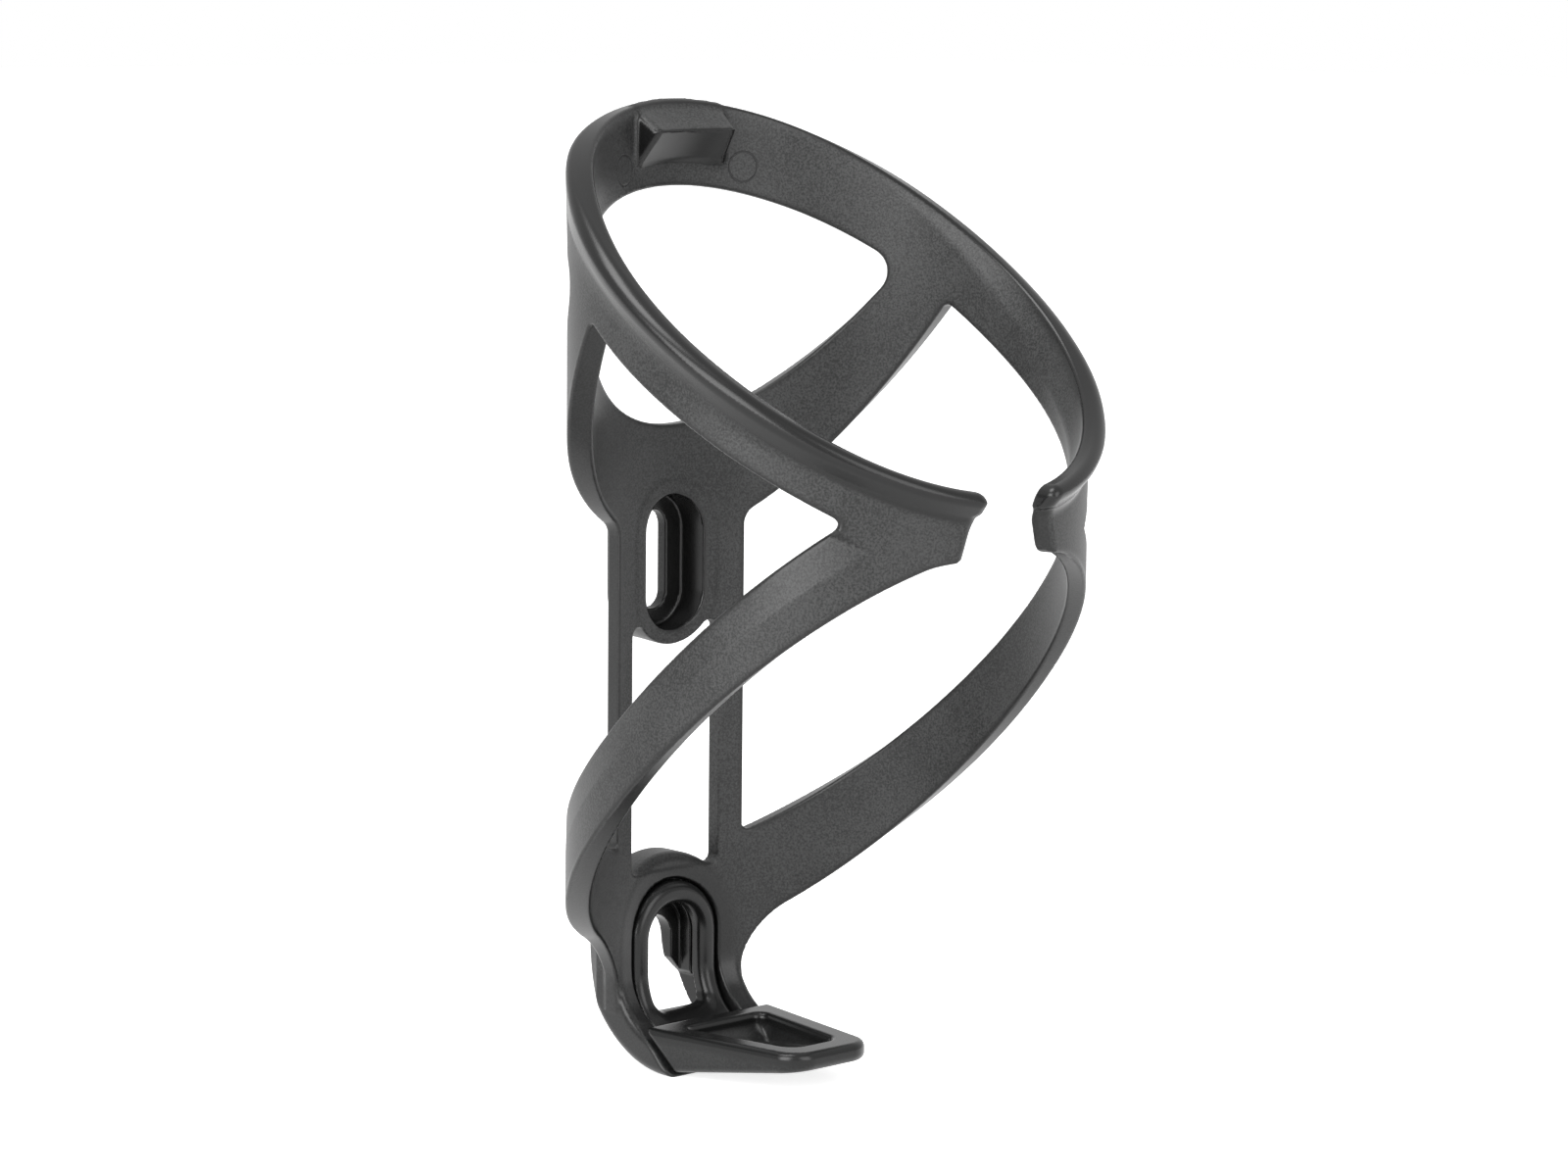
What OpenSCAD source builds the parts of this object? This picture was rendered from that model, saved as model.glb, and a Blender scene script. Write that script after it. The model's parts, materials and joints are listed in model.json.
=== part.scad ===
// Water bottle cage: one moulded body that grips the bottle, and a moulded foot
// that carries it. The bike tube's face is the plane Y = 0, the bottle stands on
// the -Y side with its axis along Z, and the upper bolt's centre is the origin.
// Angles go round the bottle from 0 at the tube side to 180 at the front gap.

/* [Bottle] */
// Radius of the bottle that the cage grips
bottle_r = 37; // [34:0.5:42]
// Radius of the rounded edge at the bottle's base
bottle_edge_r = 11; // [8:0.5:12]

/* [Bike tube] */
// Distance from the bottle's wall to the face on the bike tube
standoff_depth = 7; // [6.5:0.5:9]
// Distance between the two bolts
bolt_spacing = 64; // [56:1:74]
// Width of the upper bolt slot
slot_w = 5.3; // [5.2:0.1:6]
// End-to-end length of the upper bolt slot
slot_len = 16.2; // [12:0.2:19]
// Width of the lower keyhole's neck, which grips the bolt
neck_w = 7.4; // [5.4:0.1:8]
// Width of the pockets that take the bolt heads
head_w = 12.3; // [11:0.1:13]
// End-to-end length of the upper bolt head's pocket
head_len = 22; // [20:0.5:25]
// Thickness of the floor under the upper bolt's head
floor_t = 2.2; // [1.8:0.1:3]
// Thickness of the floor under the lower bolt's head
lower_floor_t = 3; // [2:0.1:3.4]

/* [Shell] */
// Wall thickness of the spine and of the hoop's middle
shell_t = 2.8; // [2.2:0.1:3.4]
// Wall thickness of the hoop, stays and arms beside the bottle
limb_t = 4.1; // [3:0.1:4.6]
// Wall thickness at the front
clip_t = 3; // [2.4:0.1:3.6]
// Width of each rail beside the spine's window
rail_w = 4.2; // [3:0.1:5]
// Wall round the bolt head pockets
boss_wall = 2.5; // [2:0.1:3]

/* [Hoop] */
// Height of the hoop's top edge at the tube side, over the upper bolt
hoop_rear_z = 74.5; // [62:0.5:90]
// Height of the hoop's top edge at the front gap, over the upper bolt
hoop_front_z = 18.4; // [16:0.2:24]
// How far the top edge bows up at the sides
hoop_bow = 1.4; // [0:0.1:3]
// Height of the hoop's band at the tube side
band_rear_h = 13.6; // [11:0.1:16]
// Height of the hoop's band near the front
band_front_h = 11; // [9:0.1:12]
// How far the rolled lip stands out from the shell
lip_out = 2.2; // [1:0.1:3]
// Height of the rolled lip at the front
lip_h = 4; // [3:0.1:5]
// Height of the rounding over the lip
lip_round = 1.4; // [0.8:0.1:2]
// Height of the lead-in bevel inside the lip
lead_in_h = 6; // [4:0.1:7]
// Width of the gap between the two clips
front_gap = 12.6; // [8:0.2:20]

/* [Stays] */
// Height of the notch between the two upper stays
notch_z = 22.5; // [20:0.5:26]
// Height that the stays' upper edge would reach at the side
stay_top_side_z = 72.5; // [68:0.5:80]
// Height where the stays' lower edge would start behind the bottle
stay_low_z = 3.5; // [2:0.5:6]
// Height that the stays' lower edge would reach at the side
stay_low_side_z = 58.2; // [54:0.2:62]

/* [Lower arms] */
// Height of the arms' upper edge over the lower bolt, at the spine
arm_top_root = 15.8; // [13:0.1:19]
// Height of the arms' upper edge at the front, over the upper bolt
arm_top_front_z = 22.7; // [20:0.1:26]
// Height of the arms' lower edge over the lower bolt, at the spine
arm_low_root = -0.2; // [-2:0.1:2]
// Height of the arms' lower edge at the front, over the upper bolt
arm_low_front_z = 10.2; // [8:0.1:12]
// Radius of the fillet under the arms' roots
arm_fillet_r = 7; // [3:0.5:8]

/* [Catch] */
// Width of the catch that snaps into the bottle's groove
catch_w = 18; // [12:0.5:24]
// How far the catch stands in from the shell
catch_in = 4.7; // [2:0.1:5]
// Height of the catch
catch_h = 9.2; // [7:0.1:11]

/* [Foot] */
// Height from the shelf up to the lower bolt
shelf_drop = 9.5; // [8:0.5:13]
// How far the shelf reaches past the bottle's axis
shelf_reach = 2.6; // [0:0.2:6]
// Width of the shelf at its front
shelf_front_w = 17; // [14:0.5:22]
// Width of the shelf at the heel
shelf_rear_w = 28; // [24:0.5:30]
// Thickness of the shelf at its front
shelf_front_t = 2.9; // [2.4:0.1:4]
// Thickness of the shelf at the heel
shelf_rear_t = 6.6; // [5:0.1:7.2]
// Thickness of the floor of the shelf's pocket
pocket_floor_t = 1.6; // [1.2:0.1:2]
// Width of the rim round the pocket
pocket_rim = 3.4; // [2.5:0.1:4]
// Outer width of the foot's arch
arch_w = 18; // [17.6:0.1:19]
// Width of the opening in the foot's arch
arch_open_w = 11; // [9:0.1:12]
// Thickness of the arch
arch_t = 2.8; // [2.2:0.1:3.2]
// Height of the arch's centre over the lower bolt
arch_rise = 2.4; // [1.6:0.1:3]
// Clearance between the foot and the heel
fit_gap = 0.4; // [0.3:0.05:0.6]

/* [Heel] */
// Width of the heel's back, on the tube
heel_back_w = 24; // [22:0.5:27]
// How far the heel reaches below the lower bolt
heel_drop = 17; // [16.6:0.2:18]
// Height of the bar that closes the keyhole at the heel's bottom
heel_bar_h = 4.5; // [3.5:0.1:5]
// Width of the heel's wall round the arch, which sets the spine's width too
hump_wall = 4.2; // [4:0.1:5]

/* [Hidden] */

$fn = 64;
body_grey = [0.23, 0.23, 0.24];
foot_grey = [0.19, 0.19, 0.20];
far = 200; // reach of the cutting bodies
step = 3; // angle between two stations of a swept band
tube_y = bottle_r + standoff_depth; // the tube's face, measured from the bottle's axis
spine_outer_r = bottle_r + shell_t;
hump_r = arch_w / 2 + fit_gap + hump_wall; // the heel's round top, concentric with the arch
spine_x = hump_r;
spine_w = 2 * spine_x;
root_a = asin(spine_x / bottle_r); // where the spine's side meets the bottle
window_x = spine_x - rail_w;
boss_w = head_w + 2 * boss_wall;
lower_bolt_z = -bolt_spacing;
arch_z = lower_bolt_z + arch_rise; // centre of the arch's round top
hump_side = 0.5; // the hump's round edge overlaps the rail by this much at the window's foot
split_z = arch_z + sqrt(pow(hump_r, 2) - pow(window_x + hump_side, 2)); // spine above, heel below
shelf_z = lower_bolt_z - shelf_drop;
edge_rise = 8.7; // height over the shelf where the bottle's wall starts to round in
edge_z = shelf_z + edge_rise;
window_r = 1.5; // corners of the spine's window
window_low_z = split_z + 1.6;
window_top_z = 1 - head_len / 2;
neck_rise = 1.3; // height of the neck's round end over the lower bolt
neck_drop = 3.7; // depth below the lower bolt where the neck opens out
rear_a = 75; // half of the angle that the rear part of the hoop covers
end_a = 180 - asin(front_gap / 2 / bottle_r);

// Heights of the edges at angle a

function smooth(t) = let (u = min(1, max(0, t))) u * u * (3 - 2 * u);
function tilted(z_rear, z_front, a) = z_rear + (z_front - z_rear) * (1 - cos(a)) / 2;
function hoop_top(a) = tilted(hoop_rear_z, hoop_front_z, a) + hoop_bow * pow(sin(a), 2);
function band_h(a) = band_rear_h + (band_front_h - band_rear_h) * smooth((abs(a) - 80) / 60);
function hoop_low(a) = hoop_top(a) - band_h(a);
function stay_top(a) = notch_z + (stay_top_side_z - notch_z) * (1 - cos(a));
function stay_low(a) = stay_low_z + (stay_low_side_z - stay_low_z) * (1 - cos(a));
function arm_top(a) = tilted(lower_bolt_z + arm_top_root, arm_top_front_z, a);
function arm_low(a) = tilted(lower_bolt_z + arm_low_root, arm_low_front_z, a);

stay_end_a = max([for (a = [30 : 0.5 : 110]) if (hoop_low(a) - stay_low(a) > 1) a]);
web_a = max([for (a = [90 : 0.5 : 160]) if (hoop_low(a) - arm_top(a) > 3) a]);

// Wall thickness at angle a: thin on the tube side, thickest beside the bottle
function wall(a) =
    abs(a) < 60 ? shell_t + (limb_t - shell_t) * smooth((abs(a) - 15) / 30)
    : limb_t + (clip_t - limb_t) * smooth((abs(a) - 60) / 50);
function outer_r(a) = bottle_r + wall(a);

// The arms' lower edge runs down into the heel's side through a fillet
function arm_low_edge(a) =
    let (left = max(0, arm_fillet_r - bottle_r * (a - root_a) * PI / 180))
        arm_low(a) - arm_fillet_r + sqrt(pow(arm_fillet_r, 2) - left * left);

// Swept bands: each ring is a list of points round one cross-section

function spot(r, a, z) = [-r * sin(a), r * cos(a), z];
// Stations from a0 to a1. Those between are whole steps, so that bands which meet
// edge to edge have the same ones.
function stations(a0, a1) = concat(
    [a0],
    [for (i = [ceil(a0 / step + 0.1) : floor(a1 / step - 0.1)]) i * step],
    [a1]
);

module sweep(rings) {
    n = len(rings[0]);
    last = len(rings) - 1;
    sides = [
        for (i = [0 : last - 1], j = [0 : n - 1])
            let (k = (j + 1) % n, a = i * n, b = a + n)
                each [[a + j, b + j, b + k], [a + j, b + k, a + k]]
    ];
    caps = [[for (j = [0 : n - 1]) j], [for (j = [n - 1 : -1 : 0]) last * n + j]];
    points = [for (ring = rings, point = ring) point];
    polyhedron(points, concat(sides, caps), convexity = 6);
}

// A plain wall from z0 to z1. It leaves the spine's flat side and turns square to
// the bottle in 8 degrees, so its outer face runs ahead of its inner face there.
function root_turn(a) = (asin(spine_x / outer_r(root_a)) - root_a) * max(0, 1 - (a - root_a) / 8);
function limb_ring(a, z0, z1) =
    let (r = outer_r(a), ao = a + root_turn(a))
        [spot(bottle_r, a, z0), spot(r, ao, z0), spot(r, ao, z1), spot(bottle_r, a, z1)];

// The hoop's section: the lip rolls out and the inside opens towards the front
lip_rear = 0.12; // share of the front's lip that the tube side has
lip_top_rear = 2; // the top edge stands this far out from the bottle at the rear
lip_top_front = 3.6; // and this far at the front
function lip_grow(a) = lip_rear + (1 - lip_rear) * smooth((abs(a) - 50) / 60);
function hoop_ring(a, z0) =
    let (z = hoop_top(a), ridge_z = z - lip_round, g = lip_grow(a), r = outer_r(a)) [
        spot(bottle_r, a, z0), spot(r, a, z0),
        spot(r, a, ridge_z - lip_h * g),
        spot(r + 0.6 * lip_out * g, a, ridge_z - 0.3 * lip_h * g),
        spot(r + lip_out * g, a, ridge_z),
        spot(bottle_r + lip_top_rear + (lip_top_front - lip_top_rear) * smooth((abs(a) - 75) / 45), a, z),
        spot(bottle_r + 0.3 + 1.3 * g, a, z - 0.3 * g),
        spot(bottle_r, a, z - lead_in_h * g),
    ];

// Shapes that the exact pieces share

module on_tube() translate([0, -tube_y, 0]) children();
module both_sides(left) mirror([left ? 0 : 1, 0, 0]) children();

// An outline drawn in X and Z, cut through from front to back
module through_y(y0, y1) translate([0, y1, 0]) rotate([90, 0, 0]) linear_extrude(y1 - y0) children();

// A side outline drawn in Y and Z, cut through over the width
module through_x(w) translate([-w / 2, 0, 0]) rotate([90, 0, 90]) linear_extrude(w) children();

module racetrack(w, length) {
    for (side = [-1, 1]) translate([0, side * (length - w) / 2]) circle(d = w);
    square([w, length - w], center = true);
}

// A slot with a round top centred on z, open downwards to z0
module keyway(w, z, z0) {
    translate([0, z]) circle(d = w);
    translate([-w / 2, z0]) square([w, z - z0]);
}

module rounded_box(w, z0, z1, r) {
    translate([-w / 2 + r, z0]) square([w - 2 * r, z1 - z0]);
    translate([-w / 2, z0 + r]) square([w, z1 - z0 - 2 * r]);
    for (x = [-1, 1] * (w / 2 - r), z = [z0 + r, z1 - r]) translate([x, z]) circle(r);
}

module shell_ring(z0, z1) {
    translate([0, 0, z0]) difference() {
        cylinder(h = z1 - z0, r = spine_outer_r, $fn = 128);
        translate([0, 0, -1]) cylinder(h = z1 - z0 + 2, r = bottle_r, $fn = 128);
    }
}

// The bottle with its rounded base edge, taken out of what stands against it
module bottle() {
    translate([0, 0, edge_z]) cylinder(h = far, r = bottle_r, $fn = 128);
    rotate_extrude($fn = 128) {
        translate([bottle_r - bottle_edge_r, edge_z]) intersection() {
            circle(bottle_edge_r);
            translate([0, -bottle_edge_r]) square(bottle_edge_r);
        }
        translate([0, edge_z - bottle_edge_r]) square([bottle_r - bottle_edge_r, bottle_edge_r]);
    }
}

// Body pieces

module spine_outline() {
    n = 16;
    top = [for (i = [0 : n]) let (x = spine_x * (1 - 2 * i / n)) [x, stay_top(asin(x / bottle_r))]];
    polygon(concat([[-spine_x, split_z], [spine_x, split_z]], top));
}

module spine() color(body_grey) on_tube() intersection() {
    shell_ring(split_z - 1, notch_z + 20);
    through_y(0, far) difference() {
        spine_outline();
        rounded_box(2 * window_x, window_low_z, window_top_z, window_r);
        racetrack(boss_w, head_len + 2 * boss_wall);
        translate([0, arch_z]) circle(hump_r);
    }
    translate([-far / 2, 0, -far]) cube([far, far, 2 * far]);
}

module upper_standoff() color(body_grey) on_tube() difference() {
    through_y(0, tube_y) racetrack(boss_w, head_len + 2 * boss_wall);
    translate([0, 0, -far / 2]) cylinder(h = far, r = bottle_r, $fn = 128);
    through_y(0, tube_y - floor_t) racetrack(head_w, head_len);
    through_y(0, far) racetrack(slot_w, slot_len);
}

heel_back_r = 18; // radius of the heel's back, seen from the side
heel_mid_y = tube_y - heel_back_r;
heel_mid_z = lower_bolt_z - heel_drop + heel_back_r;
arch_in = 1.8; // the arch's front face stands this far inside the bottle's wall
arch_bend_r = 9.5; // radius of the bend from the arch's front face to the shelf
bend_y = bottle_r - arch_in - arch_bend_r;
bend_z = edge_z - 2;
heel_tip_in = 7.8; // the heel's front meets the shelf's top this far inside the bottle's wall
heel_tip_y = bottle_r - heel_tip_in;

// The heel from the side: straight on the tube, round below, 45 degrees at the foot
module heel_side() {
    intersection() {
        union() {
            translate([heel_mid_y, heel_mid_z]) circle(heel_back_r, $fn = 96);
            translate([heel_mid_y, heel_mid_z]) square([heel_back_r, arch_z + far]);
            translate([0, shelf_z - 1]) square([heel_mid_y + 1, far]);
        }
        polygon([
            [heel_tip_y - 12, shelf_z - 12], [heel_tip_y, shelf_z], [heel_tip_y, far],
            [far, far], [far, shelf_z - 12],
        ]);
    }
}

// What the foot's arch takes up, from the side; grow adds the clearance round it
module arch_side(grow) {
    back_r = arch_bend_r + arch_t + grow;
    difference() {
        union() {
            translate([bend_y, bend_z]) circle(back_r, $fn = 96);
            translate([bend_y, bend_z]) square([back_r, far]);
        }
        translate([bend_y - far, shelf_z]) square([far, far]);
        translate([bend_y - far, bend_z - far]) square([far, 2 * far]);
    }
}

// The heel's sides draw in towards the tube
module heel_draft() translate([0, 0, -far]) linear_extrude(2 * far)
    polygon([
        [-spine_x, 0], [spine_x, 0], [spine_x, spine_outer_r], [heel_back_w / 2, tube_y],
        [-heel_back_w / 2, tube_y], [-spine_x, spine_outer_r],
    ]);

module heel() color(body_grey) on_tube() difference() {
    union() {
        intersection() {
            shell_ring(lower_bolt_z, arch_z + hump_r + 1);
            through_y(0, far) {
                translate([-spine_x, lower_bolt_z]) square([spine_w, split_z - lower_bolt_z]);
                translate([0, arch_z]) circle(hump_r);
            }
        }
        intersection() {
            through_x(spine_w) heel_side();
            through_y(0, far) keyway(spine_w, arch_z, lower_bolt_z - far / 2);
            heel_draft();
        }
    }
    bottle();
    // seat of the arch, open towards the front
    through_y(0, bend_y + 0.01) translate([-arch_w / 2 - fit_gap, bend_z - arch_bend_r - arch_t - fit_gap])
        square([arch_w + 2 * fit_gap, far / 2]);
    intersection() {
        through_x(arch_w + 2 * fit_gap) arch_side(fit_gap);
        through_y(0, far) keyway(arch_w + 2 * fit_gap, arch_z, lower_bolt_z - far / 2);
    }
    // pocket of the bolt's head, then the neck, then the wide part of the keyhole
    through_y(0, tube_y - lower_floor_t) keyway(head_w, arch_z, shelf_z);
    through_y(0, far) keyway(neck_w, lower_bolt_z + neck_rise, lower_bolt_z - neck_drop - 1);
    through_y(0, far) translate([-head_w / 2, lower_bolt_z - heel_drop + heel_bar_h])
        square([head_w, heel_drop - heel_bar_h - neck_drop]);
}

module rear_hoop() color(body_grey) on_tube()
    sweep([for (a = stations(-rear_a, rear_a)) hoop_ring(a, hoop_low(a))]);

module hoop_side(left) color(body_grey) on_tube() both_sides(left)
    sweep([for (a = stations(rear_a, web_a)) hoop_ring(a, hoop_low(a))]);

module front_clip(left) color(body_grey) on_tube() both_sides(left) {
    corner = 1.5; // angle and height over which the clip's lower corner is cut off
    sweep(concat(
        [for (a = stations(web_a, end_a - corner)) hoop_ring(a, arm_low(a))],
        [hoop_ring(end_a, arm_low(end_a) + corner)]
    ));
}

module upper_stay(left) color(body_grey) on_tube() both_sides(left)
    sweep([for (a = stations(root_a, stay_end_a)) limb_ring(a, stay_low(a), min(stay_top(a), hoop_low(a)))]);

module lower_arm(left) color(body_grey) on_tube() both_sides(left)
    sweep([for (a = stations(root_a, web_a)) limb_ring(a, arm_low_edge(a), arm_top(a))]);

// The catch: a ramp in from the hoop's top edge up to a straight ridge, and a
// steeper one back under it. Its stations fall on those of the hoop behind it.
module hoop_catch() color(body_grey) on_tube() {
    half_a = step * round(asin(catch_w / 2 / bottle_r) / step);
    ridge_y = bottle_r - catch_in;
    sweep([
        for (a = [-half_a : step : half_a])
            let (z = hoop_top(a) - lead_in_h * lip_grow(a), b = 0.85 * a) [
                spot(bottle_r, a, z), spot(bottle_r, a, z - catch_h),
                spot(ridge_y / cos(b), b, z - 0.42 * catch_h),
            ]
    ]);
}

// Foot pieces

module arch_outline() difference() {
    keyway(arch_w, arch_z, shelf_z - far / 4);
    keyway(arch_open_w, arch_z - 0.2, shelf_z);
}

module foot_arch() color(foot_grey) on_tube() intersection() {
    through_x(arch_w) difference() {
        arch_side(0);
        translate([bend_y, bend_z]) circle(arch_bend_r, $fn = 96);
        translate([bend_y, bend_z]) square([arch_bend_r, far]);
    }
    through_y(0, far) arch_outline();
}

shelf_back_y = heel_tip_y - 1.5 * fit_gap;
shelf_corner = 3; // the shelf's front corners are cut off over this length
pocket_back_y = bend_y - 3;

// Half the shelf's width at distance y from the bottle's axis
function shelf_x(y) =
    (shelf_front_w + (shelf_rear_w - shelf_front_w) * (y + shelf_reach) / (heel_tip_y + shelf_reach)) / 2;

// The shelf from above, up to back_y, drawn in by rim on its sides and its front
module shelf_plan(back_y, rim) {
    front_y = rim - shelf_reach;
    side_y = front_y + shelf_corner;
    front_x = shelf_x(front_y) - rim - shelf_corner;
    side_x = shelf_x(side_y) - rim;
    back_x = shelf_x(back_y) - rim;
    polygon([
        [-back_x, back_y], [-side_x, side_y], [-front_x, front_y],
        [front_x, front_y], [side_x, side_y], [back_x, back_y],
    ]);
}

// The shelf from the side, cut off at height over its sloping underside
module shelf_side(height) {
    front_z = shelf_z - shelf_front_t + height;
    back_z = shelf_z - shelf_rear_t + height;
    polygon([
        [shelf_back_y, shelf_z + 1], [-shelf_reach - 1, shelf_z + 1],
        [-shelf_reach - 1, front_z], [shelf_back_y - shelf_rear_t + height, back_z],
        [shelf_back_y, shelf_z],
    ]);
}

module foot_shelf() color(foot_grey) on_tube() difference() {
    intersection() {
        translate([0, 0, shelf_z - 20]) linear_extrude(20) shelf_plan(heel_tip_y, 0);
        through_x(far) shelf_side(0);
    }
    translate([-arch_w / 2, bend_y, shelf_z - far / 2]) cube([arch_w, far, far]);
    intersection() {
        translate([0, 0, shelf_z - 20]) linear_extrude(40) shelf_plan(pocket_back_y, pocket_rim);
        through_x(far) shelf_side(pocket_floor_t);
    }
}

spine();
upper_standoff();
heel();
rear_hoop();
hoop_catch();
hoop_side(true);  // left_hoop_side
hoop_side(false);  // right_hoop_side
front_clip(true);  // left_front_clip
front_clip(false);  // right_front_clip
upper_stay(true);  // left_upper_stay
upper_stay(false);  // right_upper_stay
lower_arm(true);  // left_lower_arm
lower_arm(false);  // right_lower_arm
foot_arch();
foot_shelf();
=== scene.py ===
"""Looks of a moulded plastic water bottle cage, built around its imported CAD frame."""
import functools
import json

import bpy
import numpy as np
from bpy.props import FloatProperty, FloatVectorProperty, PointerProperty
from mathutils import Matrix, Vector


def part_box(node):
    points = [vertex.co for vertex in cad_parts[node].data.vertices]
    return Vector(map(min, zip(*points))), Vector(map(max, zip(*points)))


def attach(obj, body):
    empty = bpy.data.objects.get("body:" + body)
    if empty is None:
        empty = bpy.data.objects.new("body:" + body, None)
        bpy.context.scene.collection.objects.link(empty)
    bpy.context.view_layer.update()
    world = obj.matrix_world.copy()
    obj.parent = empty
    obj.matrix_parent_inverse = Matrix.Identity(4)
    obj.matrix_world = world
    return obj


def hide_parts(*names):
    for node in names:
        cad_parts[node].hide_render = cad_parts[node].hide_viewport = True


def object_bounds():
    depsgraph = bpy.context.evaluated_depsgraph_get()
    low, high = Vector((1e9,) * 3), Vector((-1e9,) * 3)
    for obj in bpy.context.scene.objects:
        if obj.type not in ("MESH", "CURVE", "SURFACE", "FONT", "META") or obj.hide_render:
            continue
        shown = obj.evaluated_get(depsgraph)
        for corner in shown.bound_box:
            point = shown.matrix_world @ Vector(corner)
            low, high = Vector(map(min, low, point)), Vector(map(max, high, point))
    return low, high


bl_info = {
    "name": "Water Bottle Cage",
    "version": (1, 0, 0),
    "blender": (4, 5, 0),
    "location": "3D View > Sidebar > Bottle Cage",
    "description": "Builds a moulded water bottle cage with its foot, plastics and studio",
    "category": "Add Mesh",
}

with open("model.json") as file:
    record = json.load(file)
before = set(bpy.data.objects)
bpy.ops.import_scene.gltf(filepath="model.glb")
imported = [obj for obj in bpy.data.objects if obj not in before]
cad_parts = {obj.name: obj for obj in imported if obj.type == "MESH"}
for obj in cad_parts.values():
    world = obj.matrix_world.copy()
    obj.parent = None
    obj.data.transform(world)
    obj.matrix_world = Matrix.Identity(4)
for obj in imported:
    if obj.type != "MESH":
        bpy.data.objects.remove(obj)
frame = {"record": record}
CAD_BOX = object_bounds()
MM = 1000.0


def mount(name):
    """The record's mount of that name."""
    return next(m for m in frame["record"]["mounts"] if m["name"] == name)


def node_mm(name):
    """A node's lowest and highest corner in millimetres, with Y measured from the bottle's axis."""
    low, high = (np.array(corner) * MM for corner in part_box(name))
    return low + (0, TUBE_Y, 0), high + (0, TUBE_Y, 0)


TUBE_Y = -mount("bottle_grip")["pos_m"][1] * MM
BOTTLE_R = mount("bottle_grip")["dims"]["r_mm"]
LOWER_BOLT_Z = mount("lower_keyhole")["pos_m"][2] * MM
SHELF_Z = mount("bottle_rest")["pos_m"][2] * MM
SLOT_R = mount("upper_bolt_slot")["dims"]["hole_r_mm"]
SLOT_LENGTH = mount("upper_bolt_slot")["dims"]["slot_length_mm"]
LIMBS = ("cage_hoop", "cage_stays", "cage_spine", "cage_arms", "cage_heel")

# Sizes that the frame doesn't give, in millimetres, of the shell's edges and lip. Heights
# are measured from the upper bolt, and angles from the rear, in degrees.
HOOP_FRONT_Z = 18.4
HOOP_BOW = 1.4
HOOP_HEIGHT = 13.6
HOOP_TAPER = 2.6
STAY_TOP_Z = 22.5
STAY_TOP_RISE = 50.0
STAY_LOW_Z = 3.5
STAY_LOW_RISE = 54.7
ARM_TOP_RISE = 15.8
ARM_TOP_FRONT_Z = 22.7
ARM_LOW_DROP = 0.2
ARM_LOW_FRONT_Z = 10.2
ARM_CORNER_LIFT = 0.9
ARM_START_X = 10.0
BEVEL_CREASE = 0.53
BEVEL_RUN = 7.0
BEVEL_STOP_Z = 14.3
BEVEL_STOP_ANGLE = 137.0
BEVEL_STOP_SLOPE = 0.69
WEB_END_X = 6.6
BEAD_END_X = 5.9
LEAD_IN_HEIGHT = 6.0

# Of its thickness, the spine's window and seats, the catch and the heel
SPINE_T = 2.8
LIMB_T = 4.1
CLIP_T = 3.0
RAIL_WIDTH = 4.2
WINDOW_TOP_Z = -10.0
WINDOW_CORNER = 1.5
UPPER_FLOOR_T = 2.2
LOWER_FLOOR_T = 3.0
HEAD_R = 6.15
HEAD_LENGTH = 22.0
NECK_R = 3.7
KEYHOLE_POCKET = 5.6
CATCH_IN = 4.7
CATCH_RIDGE_Z = 69.9
CATCH_HEIGHT = 9.2
CATCH_DROP = 0.72
CATCH_END_X = 9.3
BOTTLE_EDGE_R = 11.0
BOTTLE_EDGE_RISE = 8.7
HEEL_BACK_R = 20.0
TIP_DEPTH = 7.8

# Of the foot's arch and shelf
ARCH_HALF = 9.0
ARCH_HOLE = 5.5
ARCH_T = 2.8
BEND_R = 9.5
BEND_RISE = 6.7
CLEARANCE = 0.4
SHELF_FRONT_HALF = 8.5
SHELF_SPREAD = 5.5
SHELF_T = 2.9
SHELF_SLOPE = 0.1504
SHELF_GAP = 0.6
SHELF_FLOOR_T = 1.6
SHELF_RIM_SIDE = 4.7
SHELF_RIM_FRONT = 5.0

# The middle of the ejector pin's mark on the hoop's inner face, in metres
EJECTOR_ANGLE = np.radians(20)
EJECTOR = (BOTTLE_R * np.sin(EJECTOR_ANGLE) / MM,
           (BOTTLE_R * np.cos(EJECTOR_ANGLE) - TUBE_Y) / MM, 0.0637)
# A distance beyond every shape
FAR = 99.0

# The mouldings' bounds, from the middle plane to the right
BODY_LOW, BODY_HIGH = (0.0, -43.2, -82.2), (44.0, 45.2, 75.6)
FOOT_LOW, FOOT_HIGH = (0.0, -4.0, -81.5), (15.0, 42.0, -51.0)


# Distances. Each function gives the signed distance from points to a shape, below
# zero inside it. All sizes are in millimetres, with the bottle's axis as x = y = 0
# and z measured from the upper bolt.

def both(a, b, radius):
    """Where both shapes are, with the edge between them rounded off."""
    return np.minimum(np.maximum(a, b), -radius) + np.hypot(
        np.maximum(a + radius, 0), np.maximum(b + radius, 0))


def either(a, b, radius):
    """Where either shape is, with a fillet in the corner between them."""
    return np.maximum(np.minimum(a, b), radius) - np.hypot(
        np.maximum(radius - a, 0), np.maximum(radius - b, 0))


def ramp(value, start, length):
    """Rises smoothly from 0 at start to 1 at start + length. A negative length runs down."""
    t = np.clip((value - start) / length, 0, 1)
    return t * t * (3 - 2 * t)


def keyway(x, z, half_width, top_z):
    """A slot with a round top centred at top_z, open downwards."""
    return np.where(z > top_z, np.hypot(x, z - top_z), np.abs(x)) - half_width


def racetrack(x, z, half_width, length):
    """An upright slot with two round ends."""
    return np.hypot(x, np.maximum(np.abs(z) - (length / 2 - half_width), 0)) - half_width


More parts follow.
